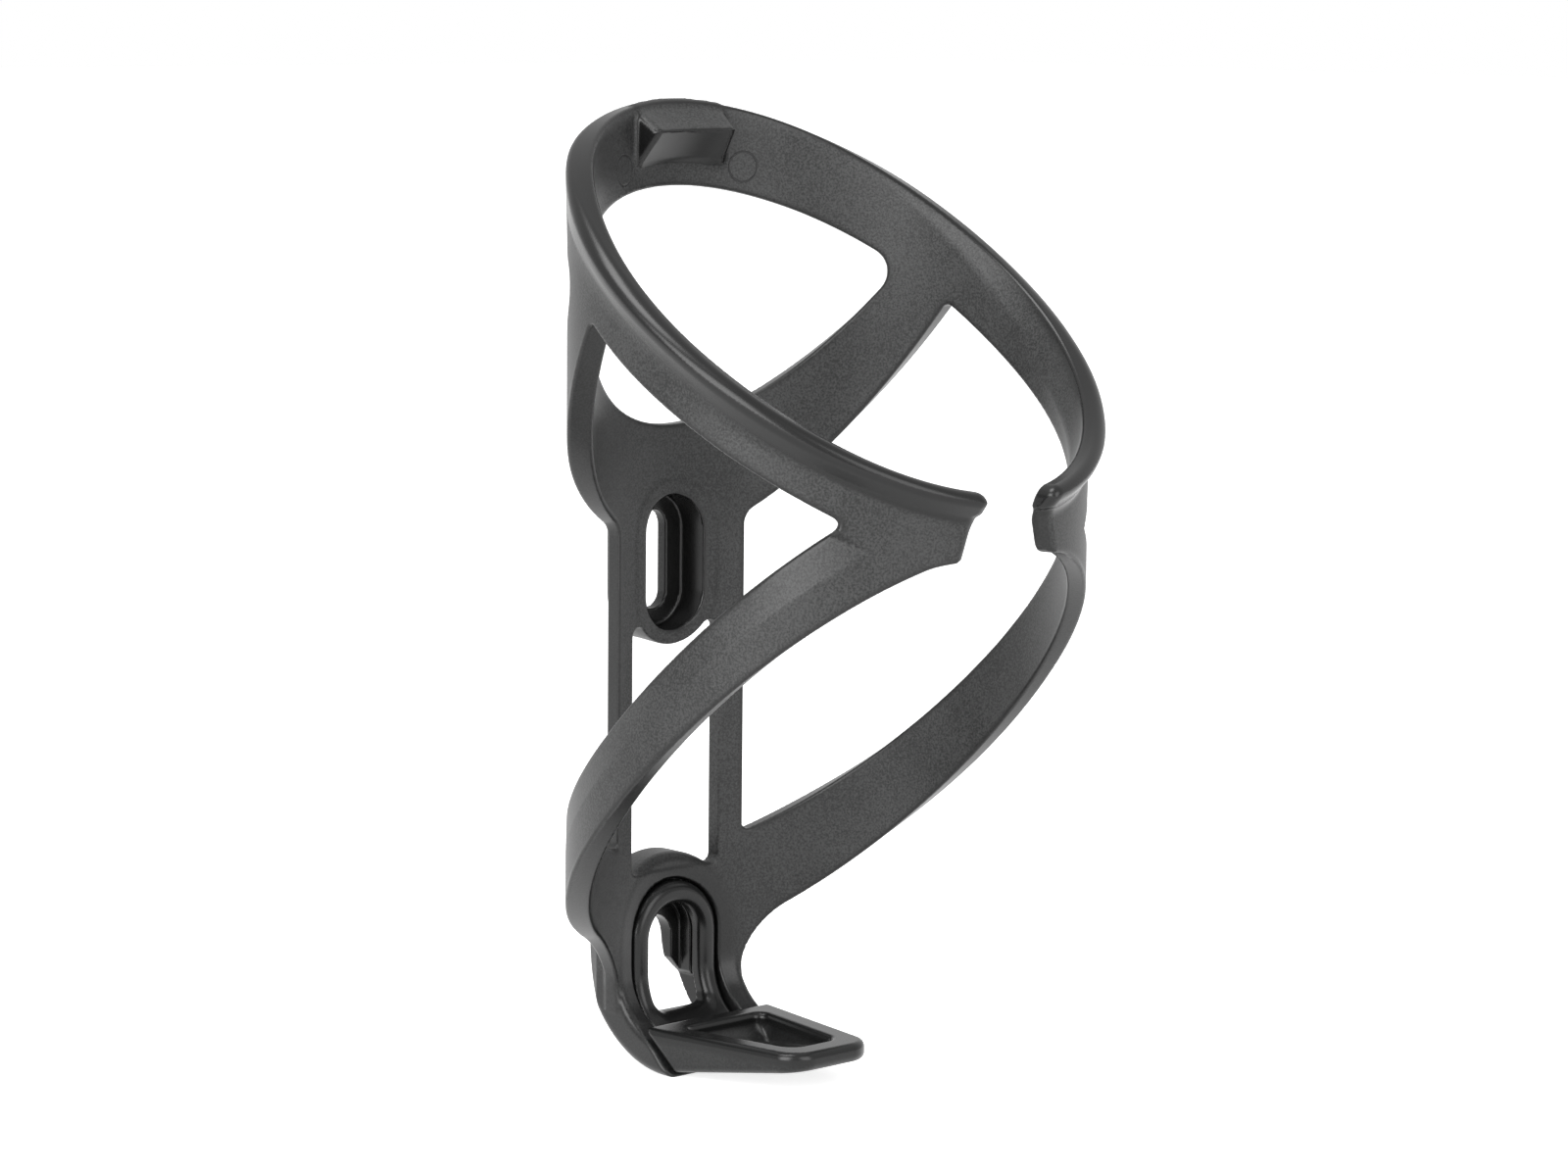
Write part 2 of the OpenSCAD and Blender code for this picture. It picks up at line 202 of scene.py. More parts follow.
def rounded_back(y, z, centre, radius):
    """Upright above the centre and round below it, seen from the side."""
    above = y - (centre[0] + radius)
    below = np.hypot(y - centre[0], z - centre[1]) - radius
    return np.where(z > centre[1], above, np.where(y > centre[0], below, centre[1] - radius - z))


class Cage:
    """The cage's sizes, and the distances to its two mouldings."""

    def __init__(self, edge_radius, lip_out, lead_in, arm_bevel):
        self.edge = edge_radius * MM
        self.lip_out = lip_out * MM
        self.lead_in = lead_in * MM
        self.bevel = arm_bevel * MM
        self.hoop_rear_z = node_mm("rear_hoop")[1][2]
        self.spine_x = node_mm("spine")[1][0]
        self.window_x = self.spine_x - RAIL_WIDTH
        self.heel_low_z = node_mm("heel")[0][2]
        self.arch_z = node_mm("foot_arch")[1][2] - ARCH_HALF
        self.boss_x = node_mm("upper_standoff")[1][0]
        self.boss_z = node_mm("upper_standoff")[1][2]
        self.bend = (node_mm("foot_arch")[0][1], SHELF_Z + BEND_RISE)
        self.shelf_front_y = node_mm("foot_shelf")[0][1]
        self.tip_y = BOTTLE_R - TIP_DEPTH

    def slanted(self, z_rear, z_front, turn, bow=0.0):
        """The height and steepness of an edge: a tilted cut that may bow up at the sides."""
        height = z_rear + (z_front - z_rear) * (1 - np.cos(turn)) / 2 + bow * np.sin(turn) ** 2
        slope = (z_front - z_rear) * np.sin(turn) / 2 + 2 * bow * np.sin(turn) * np.cos(turn)
        return height, np.sqrt(1 + (slope / (BOTTLE_R + 2.5)) ** 2)

    def hoop_edges(self, turn):
        """The heights of the hoop's top and bottom edges, and their steepness."""
        top, steep = self.slanted(self.hoop_rear_z, HOOP_FRONT_Z, turn, HOOP_BOW)
        return top, top - HOOP_HEIGHT + HOOP_TAPER * ramp(np.degrees(turn), 80, 60), steep

    def arm_top(self, turn):
        """The height and steepness of the arms' upper edge."""
        return self.slanted(LOWER_BOLT_Z + ARM_TOP_RISE, ARM_TOP_FRONT_Z, turn)

    def wall(self, degrees):
        """The shell's thickness: thin at the spine and the clips."""
        rear = SPINE_T + (LIMB_T - SPINE_T) * ramp(degrees, 15, 30)
        return np.where(degrees < 60, rear, LIMB_T - (LIMB_T - CLIP_T) * ramp(degrees, 60, 50))

    def bottle(self, r, z):
        """The bottle, with the rounded edge of its base."""
        edge_z = SHELF_Z + BOTTLE_EDGE_RISE
        base = np.hypot(np.maximum(r - BOTTLE_R + BOTTLE_EDGE_R, 0), z - edge_z) - BOTTLE_EDGE_R
        return np.where(z > edge_z, r - BOTTLE_R, base)

    def flat(self, x, y, z):
        """The shell as if unrolled: angle, height over its top, ends, outline and arms' bevel."""
        turn = np.arctan2(x, y)
        degrees = np.degrees(turn)
        top, hoop_low, top_steep = self.hoop_edges(turn)
        arm_top, arm_top_steep = self.arm_top(turn)
        arm_low, arm_low_steep = self.slanted(LOWER_BOLT_Z - ARM_LOW_DROP, ARM_LOW_FRONT_Z, turn)
        arm_low = arm_low + ARM_CORNER_LIFT * ramp(degrees, 158, 12)
        stay_top, stay_top_steep = self.slanted(STAY_TOP_Z, STAY_TOP_Z + 2 * STAY_TOP_RISE, turn)
        stay_low, stay_low_steep = self.slanted(STAY_LOW_Z, STAY_LOW_Z + 2 * STAY_LOW_RISE, turn)
        over_top, under_hoop = (z - top) / top_steep, (hoop_low - z) / top_steep
        over_stay, under_stay = (z - stay_top) / stay_top_steep, (stay_low - z) / stay_low_steep
        over_arm, under_arm = (z - arm_top) / arm_top_steep, (arm_low - z) / arm_low_steep

        # the clips end here, the bead a little further than the web
        web = WEB_END_X - 0.27 * (z - top + 3.6)
        end_x = web + (BEAD_END_X - web) * ramp(z - top, -4.0, 0.9)
        end = np.where(y < 0, end_x - BOTTLE_R * x / np.maximum(np.hypot(x, y), 1), -FAR)

        # the plate, then the arms, the stays and the hoop
        side = np.where(y > 0, x - self.spine_x, FAR)
        arm = np.maximum(np.maximum(over_arm, under_arm), ARM_START_X - x)
        outline = either(side, arm, np.where(under_arm > over_arm, 7.0, 1.5))
        outline = np.maximum(either(outline, under_stay, 1.5), over_stay)
        corner = np.where(degrees < 62, 5.0, np.where(degrees < 100, 1.2, 2.2))
        outline = either(outline, under_hoop, corner)
        outline = both(np.maximum(outline, LOWER_BOLT_Z - 8 - z), end, 1.6)

        # the arms' bevel: its depth grows from the crease, and stops short of the clips
        crease = (z - arm_low - BEVEL_CREASE * (arm_top - arm_low)) / arm_top_steep
        along = BOTTLE_R * 1.08 * (turn - np.radians(BEVEL_STOP_ANGLE))
        stop = -((z - BEVEL_STOP_Z) + BEVEL_STOP_SLOPE * along) / 1.21
        bevel = np.clip(np.minimum(crease * self.bevel / BEVEL_RUN, stop * 0.9), 0, None)
        bevel = bevel * (over_arm < 1.5) * ramp(degrees, 40, 45)
        return degrees, over_top, end, outline, bevel

    def shell(self, x, y, z):
        """The hoop, stays, arms, clips and plate."""
        r = np.hypot(x, y)
        degrees, over_top, end, outline, bevel = self.flat(x, y, z)

        # outer face: the wall, and the rolled lip that stands out over it
        grow = 0.12 + 0.88 * ramp(degrees, 50, 60)
        lip = self.lip_out * grow
        ridge = 1.8 + 0.4 * ramp(degrees, 150, -12)
        root = 4.6 + 0.9 * ramp(degrees, 150, -40)
        out = r - BOTTLE_R - self.wall(degrees)
        under = (out * (root - ridge) - (over_top + root) * lip) / np.hypot(root - ridge, lip)
        outer = either(out, both(out - lip, under, 0.5), 0.7) + bevel

        # inner face: the bottle's cylinder and the lead-in under the lip
        tilt = self.lead_in / LEAD_IN_HEIGHT
        opening = (BOTTLE_R + tilt * (over_top + 5.5 * grow) - r) / np.hypot(1, tilt)
        inner = both(BOTTLE_R - r, opening, 0.3)

        shoulder = 1.4 + 1.5 * ramp(degrees, 50, 25) - 1.2 * ramp(degrees, 90, 35)
        squash = np.maximum(shoulder / ridge, 1)
        cover = both(both(over_top, end, 1.8) * squash, outer, shoulder) / squash
        cover = both(cover, inner, self.edge)
        limbs = both(both(outline, outer, self.edge), inner, self.edge)
        return np.maximum(cover, limbs)

    def grained(self, x, y, z):
        """1 where the body's mould is eroded, down to 0 on its polished faces and in the bolt
        pockets, where the dark tone is painted shade.
        """
        x = np.abs(x)
        degrees, over_top, end, outline = self.flat(x, y, z)[:4]
        outside = ramp(np.hypot(x, y), BOTTLE_R + 1.2, 1.0)
        # the lip and the cove under it take the dark satin tone, which in the cove is partly
        # painted shade
        lip = ramp(over_top, -5.2, 0.6) * outside * ramp(degrees, 40, 20)
        rim = ramp(over_top, -0.8, 0.5)
        edge = 0.7 * ramp(np.maximum(outline, end), -1.1, 0.7)
        catch = (self.catch(x, y, z) < 0.25) * np.maximum(z < 70.2, x > 8.8)
        around = ramp(self.channel(x, y, z), 6.0, -5.0) * (z < self.arch_z + 16)
        # painted shade: the bolt pockets are darkened like the polished faces, for the shade in
        # these recesses
        pocket = np.minimum(self.upper_seat(x, y, z)[0], self.lower_seat(x, y, z))
        seat_shade = ramp(pocket, 0.75, -0.5) * (y > 0)
        return 1 - np.maximum.reduce([lip, rim, edge, catch, 0.8 * around, seat_shade])

    def limb(self, x, y, z):
        """Which limb of the body a point belongs to: its number in LIMBS."""
        x = np.abs(x)
        turn = np.arctan2(x, y)
        found = {
            "cage_heel": (self.heel(x, y, z) < 0.3) & (z < self.arch_z + self.spine_x),
            "cage_hoop": z > self.hoop_edges(turn)[1],
            "cage_spine": (x < self.spine_x) & (y > 0) & (z < 40),
            "cage_stays": (z > self.arm_top(turn)[0]) & (np.degrees(turn) < 100),
        }
        return np.select(list(found.values()), [LIMBS.index(name) for name in found],
                         LIMBS.index("cage_arms"))

    def standoff(self, x, y, z):
        """The pad on the tube round the upper bolt."""
        draw_in = 0.35 * ramp(y, BOTTLE_R, 7)
        pad = racetrack(x, z, self.boss_x - draw_in, 2 * (self.boss_z - draw_in))
        pad = both(both(pad, y - TUBE_Y, 0.6), BOTTLE_R - np.hypot(x, y), self.edge)
        return np.where(y > 0, pad, FAR)

    def upper_seat(self, x, y, z):
        """The pocket for the upper bolt's head, and the slot through its floor."""
        pocket = both(racetrack(x, z, HEAD_R, HEAD_LENGTH), y - (TUBE_Y - UPPER_FLOOR_T), 0.4)
        slot = racetrack(x, z, SLOT_R, SLOT_LENGTH)
        return pocket, slot

    def catch(self, x, y, z):
        """The ridge inside the hoop, from its top down to a blunt edge and back to the wall."""
        top = self.hoop_edges(np.arctan2(x, y))[0] - CATCH_DROP
        low = top - CATCH_HEIGHT
        inward = BOTTLE_R - np.hypot(x, y)
        down, up = top - CATCH_RIDGE_Z, CATCH_RIDGE_Z - low
        over = ((z - top) * CATCH_IN + inward * down) / np.hypot(CATCH_IN, down)
        under = ((low - z) * CATCH_IN + inward * up) / np.hypot(CATCH_IN, up)
        end = (x - CATCH_END_X) * 0.93 + (inward - 0.5) * 0.2
        wedge = both(both(over, under, 0.35), end, 1.1)
        return np.maximum(np.where(y > 0, wedge, FAR), -inward - 1.0)

    def heel(self, x, y, z):
        """The lower pad on the tube, before its keyhole and channel are cut."""
        centre = (TUBE_Y - HEEL_BACK_R, self.heel_low_z + HEEL_BACK_R)
        back = rounded_back(y, z, centre, HEEL_BACK_R)
        draft = np.maximum(y - BOTTLE_R - SPINE_T, 0) * 0.38
        sides = keyway(x, z, self.spine_x, self.arch_z) + draft * (z < self.arch_z + ARCH_HALF)
        front = np.minimum(self.tip_y - y, (z - SHELF_Z - y + self.tip_y) / np.sqrt(2))
        block = both(both(sides, back, 1.8), front, 0.7)
        return both(block, -self.bottle(np.hypot(x, y), z), 1.7)

    def channel(self, x, y, z):
        """What the foot's arch takes up in the heel, with clearance."""
        side = rounded_back(y, z, self.bend, BEND_R + ARCH_T + CLEARANCE)
        return both(side, keyway(x, z, ARCH_HALF + CLEARANCE, self.arch_z), 0.3)

    def lower_seat(self, x, y, z):
        """The keyhole: head pocket, neck and the wide part below."""
        pocket = both(keyway(x, z, KEYHOLE_POCKET, self.arch_z), y - (TUBE_Y - LOWER_FLOOR_T), 0.4)
        pocket = np.maximum(pocket, SHELF_Z - z)
        neck = np.maximum(keyway(x, z, NECK_R, LOWER_BOLT_Z + 1.3), LOWER_BOLT_Z - 4.7 - z)
        slant = (z - LOWER_BOLT_Z + 2.6 + (x - NECK_R) * 1.2) / 1.56
        wide = np.maximum(x - HEAD_R, np.maximum(self.heel_low_z + 4.5 - z, slant))
        return np.minimum(np.minimum(pocket, neck), wide)

    def window(self, x, z):
        """The opening between the spine's rails."""
        low, high = self.arch_z + 10.92, WINDOW_TOP_Z
        dx = x - self.window_x + WINDOW_CORNER
        dz = np.abs(z - (low + high) / 2) - (high - low) / 2 + WINDOW_CORNER
        outside = np.hypot(np.maximum(dx, 0), np.maximum(dz, 0))
        return outside + np.minimum(np.maximum(dx, dz), 0) - WINDOW_CORNER

    def body(self, x, y, z):
        """The body's moulding."""
        x = np.abs(x)
        shape = both(self.shell(x, y, z), np.where(y > 0, -self.window(x, z), -FAR), 0.4)
        shape = either(shape, self.catch(x, y, z), 0.9)
        shape = either(shape, self.standoff(x, y, z), 0.6)
        shape = either(shape, self.heel(x, y, z), 0.6)
        pocket, slot = self.upper_seat(x, y, z)
        behind = np.where(y > 0, 0.0, FAR)
        shape = both(shape, -(pocket + behind), 0.5)
        shape = both(shape, -(slot + behind), 0.2)
        shape = both(shape, -self.channel(x, y, z), 0.45)
        return both(shape, -(self.lower_seat(x, y, z) + behind), 0.2)

    def foot(self, x, y, z):
        """The foot's moulding: the arch, and the shelf with its pocket."""
        x = np.abs(x)
        thick = rounded_back(y, z, self.bend, BEND_R + ARCH_T)
        thin = rounded_back(y, z, self.bend, BEND_R)
        hole = both(keyway(x, z, ARCH_HOLE, self.arch_z - 0.2), SHELF_Z - z, 2.0)
        ring = both(keyway(x, z, ARCH_HALF, self.arch_z), -hole, 1.0)
        arch = np.maximum(both(both(-thin, ring, 1.6), thick, 0.2), self.bend[0] - y)

        reach = y - self.shelf_front_y
        half = SHELF_FRONT_HALF + SHELF_SPREAD * reach / (self.tip_y - self.shelf_front_y)
        plan = both((x - half) * 0.985, -reach, 4.2)
        under = SHELF_Z - SHELF_T - SHELF_SLOPE * reach - z
        back = ((y - self.tip_y + SHELF_GAP) - (z - SHELF_Z)) / np.sqrt(2)
        plate = both(both(plan, np.maximum(under, back), 1.2), z - SHELF_Z, 1.2)
        rim = both((x - half + SHELF_RIM_SIDE) * 0.985, SHELF_RIM_FRONT - reach, 2.2)
        hollow = both(rim, y - self.bend[0] + 1.8, 2.0)
        hollow = both(both(hollow, under + SHELF_FLOOR_T, 0.8), back + SHELF_FLOOR_T, 0.8)
        plate = both(plate, -hollow, 1.0)
        # the fillet between them is full over the shelf and small beside the heel
        return either(arch, plate, 1.1 + 0.9 * ramp(z - SHELF_Z, -3.0, 2.0))

    def foot_grained(self, x, y, z):
        """A little of the mould's grain, on the shelf's sides only."""
        return 0.35 * ramp(z, SHELF_Z - 1.5, -1.0)


# Meshes

def surface_net(values, origin, step):
    """Vertices and four-sided faces on the zero level of a grid of values."""
    inside = values < 0
    shape = np.array(values.shape) - 1
    strides = np.array((shape[1] * shape[2], shape[2], 1))
    units = np.eye(3, dtype=int)
    spots, quads = [], []
    for axis in range(3):
        lower = [slice(None)] * 3
        upper = [slice(None)] * 3
        lower[axis], upper[axis] = slice(None, -1), slice(1, None)
        flips = inside[tuple(lower)] != inside[tuple(upper)]
        near = np.stack(np.nonzero(flips), axis=1)
        here = values[tuple(near.T)]
        there = values[tuple((near + units[axis]).T)]
        spot = near.astype(float)
        spot[:, axis] += here / (here - there)
        b, c = units[(axis + 1) % 3], units[(axis + 2) % 3]
        ring = np.stack([(near - b - c) @ strides, (near - c) @ strides, near @ strides,
                         (near - b) @ strides], axis=1)
        ring[here > 0] = ring[here > 0][:, ::-1]
        quads.append(ring)
        spots.append(np.repeat(spot, 4, axis=0))
    spots = np.concatenate(spots)
    place = np.unique(np.concatenate(quads).ravel(), return_inverse=True)[1]
    count = np.bincount(place)
    corners = np.stack([np.bincount(place, spots[:, i]) / count for i in range(3)], axis=1)
    return origin + corners * step, place.reshape(-1, 4)


def gradient(distance, points, reach=0.04):
    """The distance's slope at points."""
    parts = []
    for axis in range(3):
        offset = np.eye(3)[axis] * reach
        parts.append(distance(*(points + offset).T) - distance(*(points - offset).T))
    return np.stack(parts, axis=1) / (2 * reach)


def settle(distance, points, rounds, longest=0.3):
    """Moves points onto the shape's surface, each by no more than the longest move a round."""
    for _ in range(rounds):
        slope = gradient(distance, points)
        size = np.maximum((slope ** 2).sum(axis=1), 0.2)
        move = distance(*points.T) / size
        points = points - slope * np.clip(move, -longest, longest)[:, None]
    return points


def relax(points, faces, rounds):
    """Evens out the spacing of a mesh's points."""
    start, end = faces.ravel(), np.roll(faces, -1, axis=1).ravel()
    own, other = np.concatenate([start, end]), np.concatenate([end, start])
    count = np.bincount(own, minlength=len(points))[:, None]
    for _ in range(rounds):
        total = np.stack([np.bincount(own, points[other, i], minlength=len(points))
                          for i in range(3)], axis=1)
        points = 0.5 * points + 0.5 * total / count
    return points


def net(distance, low, high, step, block=6):
    """Points, faces and normals over a shape that is the same left and right of x = 0.

    Its right half lies between low and high. The distance is first taken once a block
    of grid points, and at every grid point only in the blocks that the surface may cross.
    """
    size = np.ceil((np.array(high) - low) / step / block).astype(int) * block
    start = np.array((0.5 * step, low[1], low[2]))
    middles = [start[i] + step * (np.arange(size[i] // block) * block + (block - 1) / 2)
               for i in range(3)]
    rough = distance(*np.meshgrid(*middles, indexing="ij"))

    def spread(grid):
        return grid.repeat(block, 0).repeat(block, 1).repeat(block, 2)

    close = spread(np.abs(rough) < step * block * 1.35)
    values = spread(np.sign(rough)).astype(np.float32)
    near = np.stack(np.nonzero(close), axis=1)
    values[close] = distance(*(start + near * step).T)
    values = np.concatenate([values[::-1], values])
    origin = np.array((-(size[0] - 0.5) * step, low[1], low[2]))
    points, faces = surface_net(values, origin, step)
    points = relax(settle(distance, points, rounds=1), faces, rounds=3)
    points = settle(distance, points, rounds=2)
    normals = gradient(distance, points)
    return points, faces, normals / np.maximum(np.linalg.norm(normals, axis=1), 1e-6)[:, None]


def moulded(name, points, faces, normals, grained):
    """A mesh object from a net, whose attribute "grained" tells eroded faces from polished ones and
    from the painted shade in the pockets.
    """
    used, place = np.unique(faces, return_inverse=True)
    points, normals, faces = points[used], normals[used], place.reshape(-1, 4)
    mesh = bpy.data.meshes.new(name)
    mesh.from_pydata(((points - (0, TUBE_Y, 0)) / MM).tolist(), [], faces.tolist())
    mesh.shade_smooth()
    mesh.normals_split_custom_set_from_vertices(normals.tolist())
    grain = mesh.attributes.new("grained", "FLOAT", "POINT")
    grain.data.foreach_set("value", grained(*points.T).astype(np.float32))
    piece = bpy.data.objects.new(name, mesh)
    bpy.context.collection.objects.link(piece)
    print(name, len(points), "points", 2 * len(faces), "triangles")
    return piece


@functools.lru_cache(maxsize=1)
def body_net(sizes, step):
    """The whole body's net, made once for all its limbs, and the limb of each face."""
    cage = Cage(*sizes)
    points, faces, normals = net(cage.body, BODY_LOW, BODY_HIGH, step)
    return cage, points, faces, normals, cage.limb(*points[faces].mean(axis=1).T)


# Materials

class Value:
    """A shader socket that can be used in Python sums."""

    def __init__(self, shader, socket):
        self.shader, self.socket = shader, socket

    def _math(self, operation, *values):
        vectors = self.socket.type in ("VECTOR", "RGBA")
        kind = "ShaderNodeVectorMath" if vectors else "ShaderNodeMath"
        return self.shader.node(kind, {"operation": operation}, *values)

    def __add__(self, other):
        return self._math("ADD", self, other)

    def __sub__(self, other):
        return self._math("SUBTRACT", self, other)

    def __rsub__(self, other):
        return self._math("SUBTRACT", other, self)

    def __mul__(self, other):
        return self._math("MULTIPLY", self, other)

    def __abs__(self):
        return self._math("ABSOLUTE", self)

    __radd__, __rmul__ = __add__, __mul__


class Shader:
    """The nodes of one material or of the world, round the node that makes its surface."""

    def __init__(self, owner, surface):
        owner.use_nodes = True
        self.tree = owner.node_tree
        self.surface = self.tree.nodes[surface]

    def node(self, kind, settings, *values, out=0, **named):
        """Adds a node: its settings first, then the values or links of its sockets."""
        made = self.tree.nodes.new(kind)
        for key, value in settings.items():
            setattr(made, key, value)
        for socket, value in zip(made.inputs, values):
            self.put(socket, value)
        for key, value in named.items():
            self.put(self.socket(made, key), value)
        return Value(self, made.outputs[out])

    def socket(self, node, key):
        """A node's input by its name, or by its identifier where several share a name."""
        return next(found for found in node.inputs
                    if key in (found.identifier, found.name.replace(" ", "_")))

    def put(self, socket, value):
        """Links a value to a socket, or sets the socket to a number or colour."""
        if isinstance(value, Value):
            self.tree.links.new(value.socket, socket)
        else:
            socket.default_value = value

    def set(self, **inputs):
        """Sets or links the surface's own sockets."""
        for key, value in inputs.items():
            self.put(self.socket(self.surface, key), value)

    def place(self):
        """The point of the surface, in the piece's own frame."""
        return self.node("ShaderNodeTexCoord", {}, out="Object")

    def noise(self, size_mm, roughness=0.5):
        """Noise from 0 to 1 whose grains are about size_mm across."""
        return self.node("ShaderNodeTexNoise", {}, Vector=self.place(), Scale=MM / size_mm,
                         Detail=2.0, Roughness=roughness)

    def span(self, value, low, high):
        """Rises smoothly from 0 where the value is low to 1 where it is high."""
        return self.node("ShaderNodeMapRange", {"interpolation_type": "SMOOTHSTEP"},
                         value, low, high)

    def seen(self):
        """1 for what is seen, also in a gloss or through glass, and 0 for the light it gives."""
        camera, glossy, glass = (self.node("ShaderNodeLightPath", {}, out=name) for name in
                                 ("Is Camera Ray", "Is Glossy Ray", "Is Transmission Ray"))
        return camera + glossy + glass

    def mix(self, factor, one, two):
        """The first colour where the factor is 0, and the second where it is 1."""
        return self.node("ShaderNodeMix", {"data_type": "RGBA"}, Factor_Float=factor,
                         A_Color=one, B_Color=two, out=2)

    def ring(self, centre, radius_mm, width_mm):
        """1 along a fine circle round a point of the left or right wall."""
        x, y, z = (self.node("ShaderNodeSeparateXYZ", {}, self.place(), out=i) for i in "XYZ")
        mirrored = self.node("ShaderNodeCombineXYZ", {}, abs(x), y, z)
        away = self.node("ShaderNodeVectorMath", {"operation": "DISTANCE"}, mirrored, centre,
                         out="Value")
        return 1 - self.span(abs(away * MM - radius_mm), width_mm * 0.3, width_mm)

    def bump(self, height, strength, distance_mm):
        """A normal tilted by a height from 0 to 1, which stands for that distance."""
        return self.node("ShaderNodeBump", {}, Height=height, Strength=strength,
                         Distance=distance_mm / MM)


@functools.lru_cache
def moulded_plastic(name, colour, polished, grain):
    """Glass-filled plastic: pale and pebbled where the mould is eroded, elsewhere dark satin, whose
    low tone is partly painted shade.
    """
    material = bpy.data.materials.new(name)
    shader = Shader(material, "Principled BSDF")
    grained = shader.node("ShaderNodeAttribute", {"attribute_name": "grained"}, out="Fac")
    cloud = shader.noise(size_mm=9.0)
    pebble = shader.noise(size_mm=0.34, roughness=0.6)
    tone = shader.span(pebble * 0.8 + cloud * 0.2, low=0.34, high=0.66)

    def shade(amount):
        return tuple(c * amount for c in colour) + (1,)

    eroded = shader.mix(tone, shade(0.4), shade(1.7))
    # painted shade: the satin's tone is the polished faces' own dark colour, lowered further for
    # the shade in the coves under the lip and in the pockets
    satin_and_shade = shader.mix(cloud, shade(polished * 0.85), shade(polished * 1.15))
    mark = shader.ring(EJECTOR, radius_mm=2.45, width_mm=0.22)
    height = pebble * (0.05 + 0.95 * grained) - mark * 2.0
    shader.set(Base_Color=shader.mix(mark, shader.mix(grained, satin_and_shade, eroded), shade(0.4)),
               Roughness=0.24 + grained * (0.14 + 0.1 * pebble) + 0.04 * cloud,
               Specular_IOR_Level=0.3,
               Normal=shader.bump(height, grain, distance_mm=0.05))
    return material


# What a user sets

class CageLooks(bpy.types.PropertyGroup):
    """Sizes and finishes of the cage"""
    voxel: FloatProperty(name="Mesh Step", description="Spacing of the mesh's points",
                         default=0.00043, min=0.0003, unit="LENGTH", precision=5)
    edge_radius: FloatProperty(name="Edge Radius", description="Rounding of the shell's edges",
                               default=0.0005, unit="LENGTH", precision=5)
    lip_out: FloatProperty(name="Lip", description="How far the rolled lip stands out",
                           default=0.0026, unit="LENGTH", precision=5)
    lead_in: FloatProperty(name="Lead-in", description="Depth of the bevel inside the lip",
                           default=0.0023, unit="LENGTH", precision=5)
    arm_bevel: FloatProperty(name="Arm Bevel", description="Depth of the bevel along the arms",
                             default=0.0019, unit="LENGTH", precision=5)
    body_colour: FloatVectorProperty(name="Body Colour", description="Colour of the body's plastic",
                                     subtype="COLOR", default=(0.028, 0.0283, 0.0283))
    foot_colour: FloatVectorProperty(name="Foot Colour", description="Colour of the foot's plastic",
                                     subtype="COLOR", default=(0.028, 0.0286, 0.0284))
    # the polished tone is partly painted shade, for the coves under the lip and the pockets
    polished: FloatProperty(name="Polished Tone", default=0.25, min=0.0, max=1.0,
                            description="Tone of the polished faces beside the grained ones")
    grain: FloatProperty(name="Grain", description="Strength of the surface grain",
                         default=0.8, min=0.0, max=1.0)


class StudioLooks(bpy.types.PropertyGroup):
    """The floor, the lights and the camera"""
    floor_colour: FloatVectorProperty(name="Floor Colour", description="Colour of the floor",
                                      subtype="COLOR", default=(0.9, 0.9, 0.9))
    key_power: FloatProperty(name="Key Light", description="Power of the main light", default=14.0)
    front_power: FloatProperty(name="Front Light", description="Power of the light in front",
                               default=6.0)
    top_power: FloatProperty(name="Top Light", description="Strength of the light from above",
                             default=1.7)
    softbox: FloatProperty(name="Softbox", description="Height of the lights' faces",
                           default=0.88, unit="LENGTH")
    sky: FloatProperty(name="Sky", description="Brightness of the light from all round",
                       default=0.12)
    camera_turn: FloatProperty(name="Camera Turn", default=0.748778, subtype="ANGLE",
                               description="Camera's angle from the cage's front to its left")
    camera_rise: FloatProperty(name="Camera Rise", description="Camera's angle over the horizon",
                               default=0.136103, subtype="ANGLE")
    camera_roll: FloatProperty(name="Camera Roll", description="Camera's tilt about its own axis",
                               default=0.009681, subtype="ANGLE")
    camera_distance: FloatProperty(name="Camera Distance", default=0.703505, unit="LENGTH",
                                   description="Distance to the bottle's axis")
    camera_side: FloatProperty(name="Camera Side Step", default=0.0071037, unit="LENGTH",
                               precision=5, description="Shift that keeps the cage in the frame")
    lens: FloatProperty(name="Lens", description="Focal length in millimetres", default=103.341)


def cage_sizes(looks):
    """What Cage takes, from the panel."""
    return looks.edge_radius, looks.lip_out, looks.lead_in, looks.arm_bevel


def plastic(name, colour, looks):
    """A moulding's plastic, from the panel."""
    return moulded_plastic(name, tuple(colour), looks.polished, looks.grain)


def make_limb(context, name, nodes):
    """Makes one limb of the body's moulding, in the body's plastic, in place of its CAD nodes."""
    looks = context.scene.cage_looks
    step = looks.voxel * MM * 1
    cage, points, faces, normals, limbs = body_net(cage_sizes(looks), step)
    piece = moulded(name, points, faces[limbs == LIMBS.index(name)], normals, cage.grained)
    piece.data.materials.append(plastic("body_plastic", looks.body_colour, looks))
    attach(piece, "body")
    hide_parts(*nodes)
    return {"FINISHED"}


class CAGE_OT_hoop(bpy.types.Operator):
    """Builds the hoop with its rolled lip and its catch for the bottle's neck"""
    bl_idname = "cage.hoop"
    bl_label = "Make Hoop"

    def execute(self, context):
        return make_limb(context, "cage_hoop", ["rear_hoop", "left_hoop_side",
                                                "right_hoop_side", "hoop_catch"])


class CAGE_OT_stays(bpy.types.Operator):
    """Builds the two stays that carry the hoop"""
    bl_idname = "cage.stays"
    bl_label = "Make Stays"

    def execute(self, context):
        return make_limb(context, "cage_stays", ["left_upper_stay", "right_upper_stay"])


